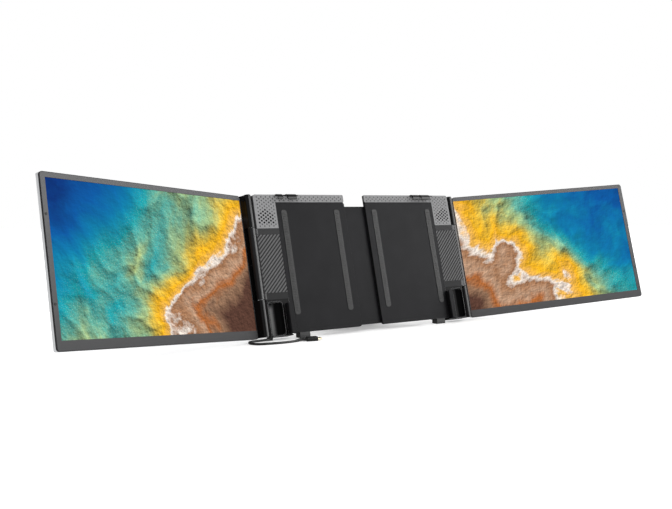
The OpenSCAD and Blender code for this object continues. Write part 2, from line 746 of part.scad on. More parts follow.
module soft_section(a0, a1, y0, y1, r) {
  translate([a0, y0]) square([a1 - a0, y1 - y0 - r]);
  translate([a0 + r, y0]) square([a1 - a0 - 2 * r, y1 - y0]);
  for (a = [a0 + r, a1 - r]) translate([a, y1 - r]) circle(r);
}

// Places of the two keys on the top edge, outward of the hinge axis
function key_u(i, k) = edge_u[i] + 32 + k * 14;
function key_y(i) = face_w[i] + 4.9;

module bezel(i) {
  x = picture_u[i];
  f = face_w[i];
  color("#6a6b6c") hinged(i) difference() {
    slab(edge_u[i] + 0.7, edge_u[i] + screen_w - 0.7, screen_low + 0.7, screen_high - 0.7,
      f, f + bezel_t, screen_r - 0.7);
    slab(x, x + picture_w, picture_z, picture_z + picture_h, f - 1, f + bezel_t + 1, 0.4);
    bumper_places(i) translate([0, f - 1, 0]) rotate([-90, 0, 0]) cylinder(r = 1.6 + fit, h = 3);
  }
}

module lcd_panel(i) {
  f = face_w[i] + bezel_t;
  color("#0f6f8f") hinged(i)
    block([edge_u[i] + skin_t + 0.1, f, picture_z - 8],
      [picture_u[i] + picture_w + 4, f + panel_t, picture_z + picture_h + 3]);
}

module back_cover(i) {
  f = face_w[i];
  color("#c3c6c9") hinged(i) difference() {
    screen_body(i, 0, f + 0.1, f + screen_t, 2.5);
    screen_body(i, skin_t, f - 1, f + screen_t - skin_t, 1.6);
    slab(edge_u[i] + 0.65, edge_u[i] + screen_w - 0.65, screen_low + 0.65, screen_high - 0.65,
      f - 1, f + bezel_t + 0.05, screen_r - 0.65);
    for (k = [0, 1]) translate([key_u(i, k), key_y(i), screen_high - 3])
      key_shape(key_w + 2 * seam, key_t + 2 * seam, 6);
  }
}

module key_shape(w, t, h) {
  linear_extrude(h) {
    square([w - t, t], center = true);
    for (s = [-1, 1]) translate([s * (w - t) / 2, 0]) circle(d = t);
  }
}

// Key with the flange that holds it inside the cover
module screen_key(i, k) {
  low = screen_high - skin_t - 1.5;
  color("#3a3b3d") hinged(i) translate([key_u(i, k), key_y(i), 0]) {
    translate([0, 0, low]) key_shape(key_w, key_t, screen_high + key_proud - low);
    block([-key_w / 2 - 1.2, -key_t / 2 - 0.4, low],
      [key_w / 2 + 1.2, key_t / 2 + 0.1, screen_high - skin_t - 0.1]);
  }
}

module power_key(i) {
  screen_key(i, 0);
}

module menu_key(i) {
  screen_key(i, 1);
}

module driver_board(i) {
  f = face_w[i] + bezel_t + panel_t;
  switch_top = screen_high - skin_t - 1.5 - key_travel - 0.1;
  low = screen_high - 52.6;
  color("#1f5c3a") hinged(i) {
    block([edge_u[i] + 18, f + 0.1, low], [edge_u[i] + 118, f + 1.2, switch_top - 4]);
    for (k = [0, 1]) block([key_u(i, k) - 2, f + 0.1, switch_top - 4.5],
      [key_u(i, k) + 2, f + 3, switch_top]);
    for (x = [30, 56, 84])
      block([edge_u[i] + x, f + 1.1, low + 12], [edge_u[i] + x + 14, f + 2.4, low + 26]);
    block([edge_u[i] + 20, f + 1.1, low + 2], [edge_u[i] + 50, f + 2.8, low + 7]);
  }
}

module bumper_places(i) {
  for (share = [0.219, 0.769])
    translate([edge_u[i] + screen_w - bezel_out / 2, 0, picture_z + share * picture_h]) children();
}

module bumpers(i) {
  f = face_w[i];
  color("#1b1c1d") hinged(i) bumper_places(i)
    translate([0, f - bumper_t, 0]) rotate([-90, 0, 0]) cylinder(r = 1.6, h = bumper_t + bezel_t);
}

// ---- Bridge and kickstand ----

module bridge_front() {
  y0 = bridge_y;
  color("#2b2c2e") leaned() difference() {
    union() {
      slab(-bridge_half, bridge_half, bridge_low, bridge_high, y0, bridge_split, 5);
    }
    // Hollow between the rails that guide the slide bars
    difference() {
      slab(-bridge_half + 2.5, bridge_half - 2.5, bridge_low + 2.5, bridge_high - 2.5,
        y0 + bridge_wall, bridge_split + 1, 3);
      for (i = [LEFT, RIGHT]) on_side(i) for (z = bar_z[i])
        block([10, y0, z - 3], [bridge_half, bridge_split + 1, z + bar_h + 3]);
    }
    for (i = [LEFT, RIGHT]) on_side(i) for (z = bar_z[i])
      block([18, bar_y - bar_play, z - bar_play],
        [bridge_half + 1, bar_y + bar_t + bar_play, z + bar_h + bar_play]);
  }
}

kick_barrels = [[-48, -22], [22, 48]];

module bridge_rear() {
  color("#313235") leaned() difference() {
    slab(-bridge_half, bridge_half, bridge_low, bridge_high, bridge_split, col_d, 5);
    // Recess that the kickstand folds into
    block([-kick_w / 2 - 0.5, kick_recess, 0], [kick_w / 2 + 0.5, col_d + 1, kick_z - 3.5]);
    for (b = kick_barrels)
      block([b[0] - 0.3, kick_y - kick_r - 0.4, kick_z - 8], [b[1] + 0.3, col_d + 1, kick_z + 3]);
    translate([-kick_w / 2, kick_y, kick_z]) rotate([0, 90, 0])
      cylinder(r = kick_pin_r + fit, h = kick_w);
  }
}

module on_kickstand() {
  leaned() translate([0, kick_y, kick_z]) rotate([kick_open, 0, 0]) children();
}

module kickstand() {
  low = foot_strip - kick_len;
  color("#8f9296") on_kickstand() difference() {
    union() {
      slab(-kick_w / 2, kick_w / 2, low, -4.5, -kick_t / 2, kick_t / 2, 4);
      block([-kick_w / 2, -kick_t / 2, low], [kick_w / 2, kick_t / 2, low + 8]);
      for (b = kick_barrels) {
        block([b[0], -kick_t / 2, -6], [b[1], kick_t / 2, 0]);
        translate([b[0], 0, 0]) rotate([0, 90, 0]) cylinder(r = kick_r, h = b[1] - b[0]);
      }
    }
    translate([-kick_w, 0, 0]) rotate([0, 90, 0]) cylinder(r = kick_pin_r + fit, h = 2 * kick_w);
    // Window that a finger pulls the stand out by
    slab(-22, 22, low + 16, low + 34, -3, 3, 8);
  }
}

module kickstand_pin() {
  color("#b4b6b9") leaned() translate([-kick_w / 2 + 1, kick_y, kick_z]) rotate([0, 90, 0])
    cylinder(r = kick_pin_r, h = kick_w - 2);
}

// Rubber strip along the kickstand's lower edge, level where it meets the table
module kickstand_foot() {
  color("#151617") difference() {
    on_kickstand() block([-kick_w / 2, -kick_tip, -kick_len - 2],
      [kick_w / 2, kick_tip, foot_strip - kick_len]);
    translate([-big, -big, -big]) cube([2 * big, 2 * big, big]);
  }
}

// ---- Cable ----

// Ring of the cable's surface at point p, square to direction d
function ring(p, d, sides) =
  let (n = d / norm(d), a = cross(n, [0, 0, 1]), s = a / norm(a), t = cross(s, n))
  [for (k = [0 : sides - 1]) p + cable_d / 2 * (s * cos(360 * k / sides) + t * sin(360 * k / sides))];

// Point at parameter t of the smooth curve through the route
function route_point(r, t) =
  let (n = len(r) - 1, k = min(floor(t), n - 1), u = t - k,
    a = r[max(k - 1, 0)], b = r[k], c = r[k + 1], d = r[min(k + 2, n)])
  b + 0.5 * u * ((c - a) + u * ((2 * a - 5 * b + 4 * c - d) + u * (3 * b - a - 3 * c + d)));

module cable_tube(r, sides, steps) {
  n = (len(r) - 1) * steps;
  path = [for (k = [0 : n]) route_point(r, k / steps)];
  points = [for (k = [0 : n]) each ring(path[k],
    k == 0 ? r[1] - r[0] : k == n ? r[len(r) - 1] - r[len(r) - 2] : path[k + 1] - path[k - 1], sides)];
  sheath = [for (k = [0 : n - 1], s = [0 : sides - 1])
    let (a = k * sides + s, b = k * sides + (s + 1) % sides) each [
      [a, a + sides, b], [b, a + sides, b + sides]]];
  lid0 = [for (s = [1 : sides - 2]) [0, s, s + 1]];
  lid1 = [for (s = [1 : sides - 2]) [n * sides, n * sides + s + 1, n * sides + s]];
  polyhedron(points, concat(sheath, lid0, lid1));
}

module cable() {
  color("#141516") cable_tube(CABLE_ROUTE, 8, 2);
}

// Strain relief at the foot of the left column, held by a stem in a bore in the column's base
module cable_gland() {
  color("#1a1b1c") {
    translate(gland + [gland_stem, 0, 0]) cylinder(r = 1.3, h = gland_stem_h);
    difference() {
      union() {
        translate(gland) rotate([0, 90, 0]) cylinder(r = 2, h = 7);
        block(gland + [1.5, -2, 0], gland + [7, 2, 4]);
      }
      leaned() translate([-big, -big, 0]) cube([2 * big, 2 * big, big]);
    }
  }
}

module on_plug() {
  translate(plug_at) rotate([0, 0, plug_turn]) children();
}

module plug_body() {
  color("#17181a") on_plug() {
    translate([2.5, 0, 0]) rotate([90, 0, 90]) linear_extrude(plug_w - 2.5)
      translate([-plug_d / 2, -plug_t / 2]) {
        translate([0, 2]) square([plug_d, plug_t - 4]);
        translate([2, 0]) square([plug_d - 4, plug_t]);
        for (x = [2, plug_d - 2], z = [2, plug_t - 2]) translate([x, z]) circle(2);
      }
    rotate([0, 90, 0]) cylinder(r1 = 2.2, r2 = 2.9, h = 2.6);
  }
}

module plug_shell() {
  color("#c9b78a") on_plug() translate([plug_w, 0, 0]) rotate([90, 0, 90]) linear_extrude(6.6)
    difference() {
      stadium(8.3, 2.5);
      difference() {
        stadium(7.7, 1.9);
        square([6.4, 0.7], center = true);
      }
    }
}

module stadium(w, h) {
  square([w - h, h], center = true);
  for (s = [-1, 1]) translate([s * (w - h) / 2, 0]) circle(d = h);
}

for (i = [LEFT, RIGHT]) {
  side = SIDES[i];
  frame_shell(i);
  front_trim(i);
  rib_pad(i);
  grille_panel(i);
  speaker(i);
  control_board(i);
  rear_cover(i);
  cover_screws(i);
  lid_pads(i);
  hinge_pins(i);
  jaw(i);
  claw(i);
  claw_pin(i);
  foot(i);
  slide_bars(i);
  bezel(i);
  lcd_panel(i);
  back_cover(i);
  driver_board(i);
  upper_knuckle(i);
  lower_knuckle(i);
  power_key(i);
  menu_key(i);
  bumpers(i);
}
bridge_front();
bridge_rear();
kickstand();
kickstand_pin();
kickstand_foot();
cable_gland();
cable();
plug_body();
plug_shell();
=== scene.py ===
"""Two folding screens on a telescopic frame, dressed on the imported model."""

import math

import bpy
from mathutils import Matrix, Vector


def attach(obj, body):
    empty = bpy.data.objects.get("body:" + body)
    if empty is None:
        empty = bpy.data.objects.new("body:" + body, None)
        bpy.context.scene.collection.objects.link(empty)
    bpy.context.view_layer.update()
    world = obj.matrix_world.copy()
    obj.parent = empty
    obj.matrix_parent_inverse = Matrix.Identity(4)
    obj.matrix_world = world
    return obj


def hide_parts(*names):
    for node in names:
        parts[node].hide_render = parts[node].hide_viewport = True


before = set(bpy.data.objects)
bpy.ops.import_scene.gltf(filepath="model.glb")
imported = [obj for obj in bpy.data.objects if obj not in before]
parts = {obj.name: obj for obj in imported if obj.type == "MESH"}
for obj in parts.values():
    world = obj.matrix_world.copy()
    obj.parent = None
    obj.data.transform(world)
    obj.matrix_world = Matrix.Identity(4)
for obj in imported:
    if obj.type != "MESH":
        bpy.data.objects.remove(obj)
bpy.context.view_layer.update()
scene = bpy.context.scene

# ---- The view ----
# The set stands on a desk and is seen from the left, a little above the table, through a normal
# lens: the sensor is 36 mm wide, as wide as the picture.
camera = bpy.data.objects.new("desk_view", bpy.data.cameras.new("desk_view"))
scene.collection.objects.link(camera)
camera.data.sensor_width = 36
camera.data.lens = 49.58
camera.data.clip_start = 0.02
camera.location = (-0.9128, -1.1313, 0.20065)
camera.rotation_euler = (math.radians(90 - 3.189), 0, math.radians(-36.343))
scene.camera = camera

# ---- The lead ----
# A limp round lead with a smooth rubber sheath. It leaves the left column by its foot, turns back
# on the table and ends in a small moulded plug; drawn as one tube along its route.
lead_diameter = 0.0035
lead_sides = 16
lead_route = [
    (-199.5, 4.4, 2.1), (-204, 4.4, 2.1), (-209, 4.4, 1.9), (-215, 4.4, 1.8), (-222.5, 4.1, 1.8),
    (-230.6, 1.8, 1.8), (-236.5, -3.4, 1.8), (-238.7, -10.8, 1.8), (-236.5, -18.2, 1.8),
    (-230.6, -23.6, 1.8), (-222.5, -26.4, 1.8), (-212, -28.4, 1.8), (-202, -29.8, 1.8),
    (-192, -30.4, 1.8), (-182, -30, 1.8), (-174, -29, 2), (-167.5, -28, 2.7),
    (-162.5, -28.35, 3.2), (-158.5, -29.2, 3.2),
]


def smooth_route(points, steps):
    """Points of the smooth curve through the route, in metres."""
    points = [Vector(p) / 1000 for p in points]
    line = []
    for k in range(len(points) - 1):
        a, b = points[max(k - 1, 0)], points[k]
        c, d = points[k + 1], points[min(k + 2, len(points) - 1)]
        for step in range(steps):
            u = step / steps
            line.append(b + 0.5 * u * ((c - a) + u * ((2 * a - 5 * b + 4 * c - d)
                                                      + u * (3 * b - a - 3 * c + d))))
    return line + [points[-1]]


def new_piece(name, corners, faces, body, uv=None):
    """A mesh piece in place, riding on its body; uv gives each face's corners their places."""
    mesh = bpy.data.meshes.new(name)
    mesh.from_pydata([tuple(c) for c in corners], [], faces)
    if uv:
        layer = mesh.uv_layers.new(name="UVMap")
        layer.data.foreach_set("uv", [value for face in uv for place in face for value in place])
    piece = bpy.data.objects.new(name, mesh)
    scene.collection.objects.link(piece)
    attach(piece, body)
    return piece


def tube(name, line, radii, sides, body):
    """A tube of changing radius along a line, closed at both ends, with its length along U."""
    corners, travelled = [], [0.0]
    for k, point in enumerate(line):
        along = (line[min(k + 1, len(line) - 1)] - line[max(k - 1, 0)]).normalized()
        across = along.cross(Vector((0, 0, 1))).normalized()
        up = across.cross(along)
        if k:
            travelled.append(travelled[-1] + (point - line[k - 1]).length)
        for s in range(sides):
            turn = 2 * math.pi * s / sides
            corners.append(point + radii[k] * (across * math.cos(turn) + up * math.sin(turn)))
    girth = 2 * math.pi * max(radii) / sides
    faces, uv = [], []
    for k in range(len(line) - 1):
        for s in range(sides):
            t = (s + 1) % sides
            faces.append((k * sides + s, (k + 1) * sides + s, (k + 1) * sides + t, k * sides + t))
            uv.append([(travelled[k], s * girth), (travelled[k + 1], s * girth),
                       (travelled[k + 1], (s + 1) * girth), (travelled[k], (s + 1) * girth)])
    last = (len(line) - 1) * sides
    for face in (tuple(range(sides)), tuple(last + s for s in reversed(range(sides)))):
        faces.append(face)
        uv.append([(0.0, 0.0)] * sides)
    piece = new_piece(name, corners, faces, body, uv)
    for face in piece.data.polygons:
        face.use_smooth = len(face.vertices) == 4
    return piece


class Recipe:
    """A material's nodes: the shader's constants, then what varies over the surface."""

    def __init__(self, name, **constants):
        self.material = bpy.data.materials.new(name)
        self.material.use_nodes = True
        self.tree = self.material.node_tree
        self.shader = self.tree.nodes["Principled BSDF"]
        for socket, value in constants.items():
            self.shader.inputs[socket.replace("_", " ")].default_value = value
        self.place = self.add("ShaderNodeTexCoord").outputs["Object"]

    def add(self, kind, settings=None, **inputs):
        node = self.tree.nodes.new(kind)
        for name, value in (settings or {}).items():
            setattr(node, name, value)
        for name, value in inputs.items():
            socket = node.inputs[int(name[1:])] if name[0] == "i" and name[1:].isdigit() \
                else node.inputs[name.replace("_", " ")]
            if isinstance(value, bpy.types.NodeSocket):
                self.tree.links.new(value, socket)
            else:
                socket.default_value = value
        return node

    def turned(self, turn, scale=(1, 1, 1)):
        """The place on the piece, with the pattern turned and stretched."""
        return self.add("ShaderNodeMapping", Vector=self.place, Rotation=turn,
                        Scale=scale).outputs[0]

    def noise(self, scale, detail=2.0, where=None, rough=0.5):
        return self.add("ShaderNodeTexNoise", Vector=where or self.place, Scale=scale,
                        Detail=detail, Roughness=rough).outputs[0]

    def math(self, operation, a, b=0.0, c=0.0):
        return self.add("ShaderNodeMath", {"operation": operation},
                        i0=a, i1=b, i2=c).outputs[0]

    def spread(self, value, low, high, to_low, to_high):
        """Maps low..high on the value to to_low..to_high, and holds it there."""
        return self.add("ShaderNodeMapRange", Value=value, From_Min=low, From_Max=high,
                        To_Min=to_low, To_Max=to_high).outputs[0]

    def mix(self, share, a, b):
        return self.add("ShaderNodeMix", {"data_type": "RGBA"}, i0=share, i6=a, i7=b).outputs[2]

    def ramp(self, value, stops):
        node = self.add("ShaderNodeValToRGB", i0=value)
        band = node.color_ramp
        band.elements[0].position, band.elements[0].color = stops[0][0], (*stops[0][1], 1)
        band.elements[1].position, band.elements[1].color = stops[-1][0], (*stops[-1][1], 1)
        for position, color in stops[1:-1]:
            band.elements.new(position).color = (*color, 1)
        return node.outputs[0]

    def edges(self, radius):
        """How near a sharp edge the place is, 0 to 1, and the softly rounded normal."""
        soft = self.add("ShaderNodeBevel", {"samples": 4}, Radius=radius).outputs[0]
        flat = self.add("ShaderNodeNewGeometry").outputs["Normal"]
        same = self.add("ShaderNodeVectorMath", {"operation": "DOT_PRODUCT"}, i0=soft, i1=flat)
        return self.spread(same.outputs["Value"], 0.97, 0.75, 0.0, 1.0), soft

    def bump(self, height, depth, normal=None):
        node = self.add("ShaderNodeBump", Height=height, Distance=depth, Strength=1.0)
        if normal:
            self.tree.links.new(normal, node.inputs["Normal"])
        return node.outputs[0]

    def set(self, **sockets):
        for name, value in sockets.items():
            self.tree.links.new(value, self.shader.inputs[name.replace("_", " ")])
        return self.material


def dress(piece, material):
    """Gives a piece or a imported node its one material."""
    piece.data.materials.clear()
    piece.data.materials.append(material)


lead_line = smooth_route(lead_route, 6)
lead = tube("lead_sheath", lead_line, [lead_diameter / 2] * len(lead_line), lead_sides,
            "left_frame")
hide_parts("cable")

sheath = Recipe("sheath_rubber", Roughness=0.34, Specular_IOR_Level=0.2)
along_lead = sheath.add("ShaderNodeUVMap").outputs[0]
scuffs = sheath.noise(900.0, 3.0, along_lead)
sheath.set(
    Base_Color=sheath.mix(sheath.spread(scuffs, 0.55, 0.8, 0.0, 1.0), (0.006, 0.006, 0.006, 1),
                          (0.016, 0.015, 0.014, 1)),
    Normal=sheath.bump(sheath.noise(2600.0, 2.0, along_lead), 0.00004))
dress(lead, sheath.material)

# ---- Plug ----
# A glossy moulded grip with a plated, drawn steel shell, of the reversible kind. A ringed rubber
# sleeve tapers from the grip onto the lead, and a short one from the gland in the column's foot.
# The rings, the grip's ridges and later the pads' bars are rows of one small hump.
hump_row = bpy.data.node_groups.new("hump_row", "GeometryNodeTree")
for socket, kind in (("Lines", "Geometry"), ("Pitch", "Float"), ("Size", "Vector"),
                     ("Tip", "Float"), ("Turn", "Rotation"), ("Follow", "Bool"),
                     ("Finish", "Material")):
    hump_row.interface.new_socket(name=socket, in_out="INPUT", socket_type="NodeSocket" + kind)
hump_row.interface.new_socket(name="Humps", in_out="OUTPUT", socket_type="NodeSocketGeometry")


def hump_node(kind, settings=None, **inputs):
    node = hump_row.nodes.new(kind)
    for name, value in (settings or {}).items():
        setattr(node, name, value)
    for name, value in inputs.items():
        socket = node.inputs[name.replace("_", " ")]
        if isinstance(value, bpy.types.NodeSocket):
            hump_row.links.new(value, socket)
        else:
            socket.default_value = value
    return node


given = hump_node("NodeGroupInput").outputs
line_curve = hump_node("GeometryNodeMeshToCurve", Mesh=given["Lines"]).outputs[0]
spaced = hump_node("GeometryNodeResampleCurve", {"mode": "LENGTH"}, Curve=line_curve,
                   Length=given["Pitch"]).outputs[0]
ball = hump_node("GeometryNodeMeshUVSphere", Segments=12, Rings=6, Radius=1.0).outputs[0]
flattened = hump_node("GeometryNodeTransform", Geometry=ball, Scale=given["Size"]).outputs[0]
hump = hump_node("GeometryNodeSetShadeSmooth", Geometry=flattened).outputs[0]
tangent = hump_node("GeometryNodeInputTangent").outputs[0]
follow = hump_node("FunctionNodeAlignRotationToVector", {"axis": "X"}, Vector=tangent).outputs[0]
turn = hump_node("GeometryNodeSwitch", {"input_type": "ROTATION"}, Switch=given["Follow"],
                 **{"False": given["Turn"], "True": follow}).outputs[0]
share = hump_node("GeometryNodeSplineParameter").outputs["Factor"]
taper = hump_node("ShaderNodeMapRange", Value=share, To_Min=1.0, To_Max=given["Tip"]).outputs[0]
placed = hump_node("GeometryNodeInstanceOnPoints", Points=spaced, Instance=hump, Rotation=turn,
                   Scale=taper).outputs[0]
solid = hump_node("GeometryNodeRealizeInstances", Geometry=placed).outputs[0]
finished = hump_node("GeometryNodeSetMaterial", Geometry=solid,
                     Material=given["Finish"]).outputs[0]
hump_row.links.new(finished, hump_node("NodeGroupOutput").inputs[0])


def row_of_humps(name, lines, body, material, **sizes):
    """A piece of small humps, one at every pitch along each line."""
    corners = [point for line in lines for point in line]
    edges, first = [], 0
    for line in lines:
        edges += [(first + k, first + k + 1) for k in range(len(line) - 1)]
        first += len(line)
    guide = bpy.data.meshes.new(name + "_lines")
    guide.from_pydata([tuple(c) for c in corners], edges, [])
    piece = bpy.data.objects.new(name, guide)
    scene.collection.objects.link(piece)
    maker = piece.modifiers.new("humps", "NODES")
    maker.node_group = hump_row
    for item in hump_row.interface.items_tree:
        if item.in_out == "INPUT" and item.name in sizes:
            maker[item.identifier] = sizes[item.name]
        elif item.name == "Finish":
            maker[item.identifier] = material
    made = bpy.data.meshes.new_from_object(
        piece.evaluated_get(bpy.context.evaluated_depsgraph_get()))
    piece.modifiers.remove(maker)
    piece.data = made
    made.name = name
    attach(piece, body)
    return piece


grip = Recipe("plug_moulding", Roughness=0.16, Specular_IOR_Level=0.2)
grip_edge, grip_normal = grip.edges(0.0005)
grip.set(
    Base_Color=grip.mix(grip_edge, (0.005, 0.005, 0.005, 1), (0.03, 0.028, 0.025, 1)),
    Normal=grip.bump(grip.noise(3200.0), 0.00003, grip_normal))
dress(parts["plug_body"], grip.material)

plug_turn = math.radians(-12)
plating = Recipe("plug_plating", Metallic=1.0, Roughness=0.2)
drawn = plating.noise(900.0, 2.0, plating.turned((0, 0, -plug_turn), (0.06, 1, 1)))
plating.set(
    Base_Color=plating.mix(plating.spread(drawn, 0.35, 0.7, 0, 1), (0.78, 0.66, 0.42, 1),
                           (0.62, 0.55, 0.42, 1)),
    Normal=plating.bump(drawn, 0.00002))
dress(parts["plug_shell"], plating.material)


def sleeve(name, line, start, end):
    """A rubber sleeve along the lead, whose radius goes evenly from start to end."""
    last = len(line) - 1
    piece = tube(name, line, [start + (end - start) * k / last for k in range(len(line))],
                 lead_sides, "left_frame")
    dress(piece, sheath.material)
    return piece


plug_sleeve = sleeve("plug_sleeve", lead_line[-20:-1], 0.0018, 0.0024)
gland_sleeve = sleeve("gland_sleeve", lead_line[:7], 0.00204, 0.00178)
sleeve_rings = row_of_humps("sleeve_rings", [list(reversed(lead_line[-17:-1]))], "left_frame",
                            sheath.material, Pitch=0.0016, Size=(0.0005, 0.0027, 0.0027), Tip=0.76,
                            Follow=True)
plug_axis = Vector((math.cos(plug_turn), math.sin(plug_turn), 0))
plug_back = Vector((-0.1585, -0.0292, 0.0064))
ridges_start, ridges_end = 0.0055, 0.0165
grip_ridges = row_of_humps(
    "grip_ridges", [[plug_back + plug_axis * along for along in (ridges_start, ridges_end)]],
    "left_frame", grip.material, Pitch=0.0022, Size=(0.00045, 0.0034, 0.0003), Tip=1.0,
    Turn=(0, 0, plug_turn), Follow=False)

# ---- Screens ----
# Each screen is a thin slab: a blasted alloy tray, a satin grey bezel round the picture, and two
# small rubber dots on the outer edge. The picture is lit from behind.
lean = math.radians(14.2)
stand_height = 0.0058
hinge_x = {"left": 0.207, "right": 0.2046}
hinge_y = {"left": -0.0014, "right": 0.0052}
face_depth = {"left": 0.009, "right": 0.00635}
picture_start = {"left": 0.0076, "right": 0.0114}
swing = {"left": math.radians(18.8), "right": math.radians(17.3)}
picture_low, picture_wide, picture_high = 0.0121, 0.3442, 0.1936
bezel_thick = 0.0008
picture_inset, picture_front, picture_rear = 0.00005, 0.00008, 0.00002


def on_screen(side, out, deep, up):
    """World place of a point given outward, rearward and upward from a screen's hinge axis."""
    x = hinge_x[side] + out * math.cos(swing[side]) + deep * math.sin(swing[side])
    y = hinge_y[side] - out * math.sin(swing[side]) + deep * math.cos(swing[side])
    x = -x if side == "left" else x
    return Vector((x, y * math.cos(lean) + up * math.sin(lean),
                   stand_height - y * math.sin(lean) + up * math.cos(lean)))


# Picture: a plain wash of layered shore colours, drawn by warped noise and shaded by its slope
lit = Recipe("lit_picture", Base_Color=(0.004, 0.004, 0.005, 1), Roughness=0.3,
             Specular_IOR_Level=0.0, Emission_Strength=1.0)
at = lit.add("ShaderNodeUVMap").outputs[0]
split = lit.add("ShaderNodeSeparateXYZ", Vector=at)
across = lit.math("FLOORED_MODULO", split.outputs[0], 4.0)


def warp(where, scale, amount, detail):
    """Pushes the pattern's places about by a slower noise."""
    push = lit.add("ShaderNodeTexNoise", Vector=where, Scale=scale, Detail=detail)
    centred = lit.add("ShaderNodeVectorMath", {"operation": "SUBTRACT"}, i0=push.outputs["Color"],
                      i1=(0.5, 0.5, 0.5))
    moved = lit.add("ShaderNodeVectorMath", {"operation": "MULTIPLY_ADD"},
                    i0=centred.outputs[0], i1=(amount, amount, 0.0), i2=where)
    return moved.outputs[0]


def boulders(where, scale):
    """Height of soft rounded lumps that lie against each other."""
    cells = lit.add("ShaderNodeTexVoronoi", {"feature": "SMOOTH_F1"}, Vector=where, Scale=scale,
                    Smoothness=0.35)
    return lit.math("MULTIPLY", cells.outputs["Distance"], cells.outputs["Distance"])


def slope(height, where, step, **kind):
    """How steeply a height rises towards the upper left, about 0."""
    aside = lit.add("ShaderNodeVectorMath", {"operation": "ADD"}, i0=where,
                    i1=(0.6 * step, -0.8 * step, 0.0)).outputs[0]
    return lit.math("SUBTRACT", height(aside, **kind), height(where, **kind))


def grain(where, scale):
    return lit.noise(scale, 5.0, where, 0.65)


drift = warp(warp(at, 0.9, 0.9, 1.0), 3.2, 0.16, 3.0)
broad = lit.noise(1.3, 2.0, drift, 0.5)
ragged = lit.noise(9.0, 6.0, drift, 0.6)
rise = lit.math("MULTIPLY_ADD", split.outputs[1], 0.4,
                lit.math("MULTIPLY_ADD", across, 0.4, -0.08))
rise = lit.math("MULTIPLY_ADD", lit.math("SUBTRACT", broad, 0.5), 0.8, rise)
rise = lit.math("MULTIPLY_ADD", lit.math("SUBTRACT", ragged, 0.5), 0.14, rise)
wash = lit.ramp(rise, [
    (0.00, (0.10, 0.045, 0.03)), (0.08, (0.30, 0.17, 0.10)), (0.14, (0.42, 0.13, 0.03)),
    (0.19, (0.50, 0.31, 0.20)), (0.25, (0.36, 0.17, 0.08)), (0.28, (0.86, 0.78, 0.70)),
    (0.30, (0.84, 0.46, 0.10)), (0.35, (0.86, 0.44, 0.01)), (0.41, (0.66, 0.46, 0.06)),
    (0.47, (0.34, 0.44, 0.18)), (0.54, (0.10, 0.36, 0.28)), (0.62, (0.01, 0.33, 0.36)),
    (0.73, (0.003, 0.20, 0.40)), (0.84, (0.002, 0.10, 0.36)), (1.00, (0.002, 0.035, 0.2))])
rocky = lit.spread(rise, 0.5, 0.75, 1.0, 0.25)
mound = lit.math("MULTIPLY", slope(boulders, drift, 0.012, scale=6.5),
                 lit.math("MULTIPLY", lit.spread(rise, 0.3, 0.42, 0.0, 5.0), rocky))
relief = lit.math("MULTIPLY", slope(grain, at, 0.008, scale=14.0),
                  lit.math("MULTIPLY", rocky, 4.2))
shade = lit.math("ADD", lit.math("ADD", relief, mound), 1.0)
flecks = lit.math("MULTIPLY", lit.spread(lit.noise(150.0, 2.0, at, 0.6), 0.58, 0.7, 0.0, 0.45),
                  lit.math("MULTIPLY", lit.spread(rise, 0.33, 0.45, 0.0, 1.0),
                           lit.spread(rise, 0.58, 0.7, 1.0, 0.0)))
painted = lit.add("ShaderNodeVectorMath", {"operation": "SCALE"},
                  i0=lit.mix(flecks, wash, (0.8, 0.84, 0.55, 1)))
lit.tree.links.new(lit.math("MAXIMUM", shade, 0.25), painted.inputs["Scale"])
lit.set(Emission_Color=painted.outputs[0])

for side, start in (("left", 0.0), ("right", 4.0)):
    u0 = picture_start[side] + picture_inset
    u1 = picture_start[side] + picture_wide - picture_inset
    z0, z1 = picture_low + picture_inset, picture_low + picture_high - picture_inset
    deep = face_depth[side] + bezel_thick
    corners, places = [], []
    for w in (deep - picture_front, deep - picture_rear):
        for u, z in ((u0, z0), (u1, z0), (u1, z1), (u0, z1)):
            corners.append(on_screen(side, u, w, z))
            places.append((start + (u - u0) / picture_high, (z - z0) / picture_high))
    faces = [(0, 1, 2, 3), (7, 6, 5, 4), (4, 5, 1, 0), (5, 6, 2, 1), (6, 7, 3, 2), (7, 4, 0, 3)]
    if side == "left":
        faces = [tuple(reversed(f)) for f in faces]
    picture = new_piece(side + "_picture", corners, faces, side + "_screen",
                        [[places[k] for k in face] for face in faces])
    dress(picture, lit.material)

# The bezel is satin on its face and black on its narrow sides
bezel = Recipe("bezel_satin", Roughness=0.45, Specular_IOR_Level=0.01)
bezel_edge, bezel_normal = bezel.edges(0.0002)
# Painted light: the bezel's face is painted lighter towards the top, 0.076 at the bottom up to
# 0.155
heights = bezel.add("ShaderNodeSeparateXYZ", Vector=bezel.place).outputs[2]
bezel_tone_with_painted_light = bezel.mix(bezel.spread(heights, 0.0, 0.21, 0.0, 1.0), (0.076, 0.076, 0.078, 1),
                       (0.155, 0.155, 0.158, 1))
facing = bezel.add("ShaderNodeVectorMath", {"operation": "DOT_PRODUCT"},
                   i0=bezel.add("ShaderNodeNewGeometry").outputs["Normal"],
                   i1=(0.0, -math.cos(lean), math.sin(lean))).outputs["Value"]
bezel_side = bezel.spread(facing, 0.6, 0.8, 1.0, 0.0)
bezel.set(
    Base_Color=bezel.mix(bezel_side, bezel.mix(bezel_edge, bezel_tone_with_painted_light, (0.06, 0.06, 0.062, 1)),
                         (0.005, 0.005, 0.006, 1)),
    Normal=bezel.bump(bezel.noise(3600.0, 2.0), 0.00003, bezel_normal))


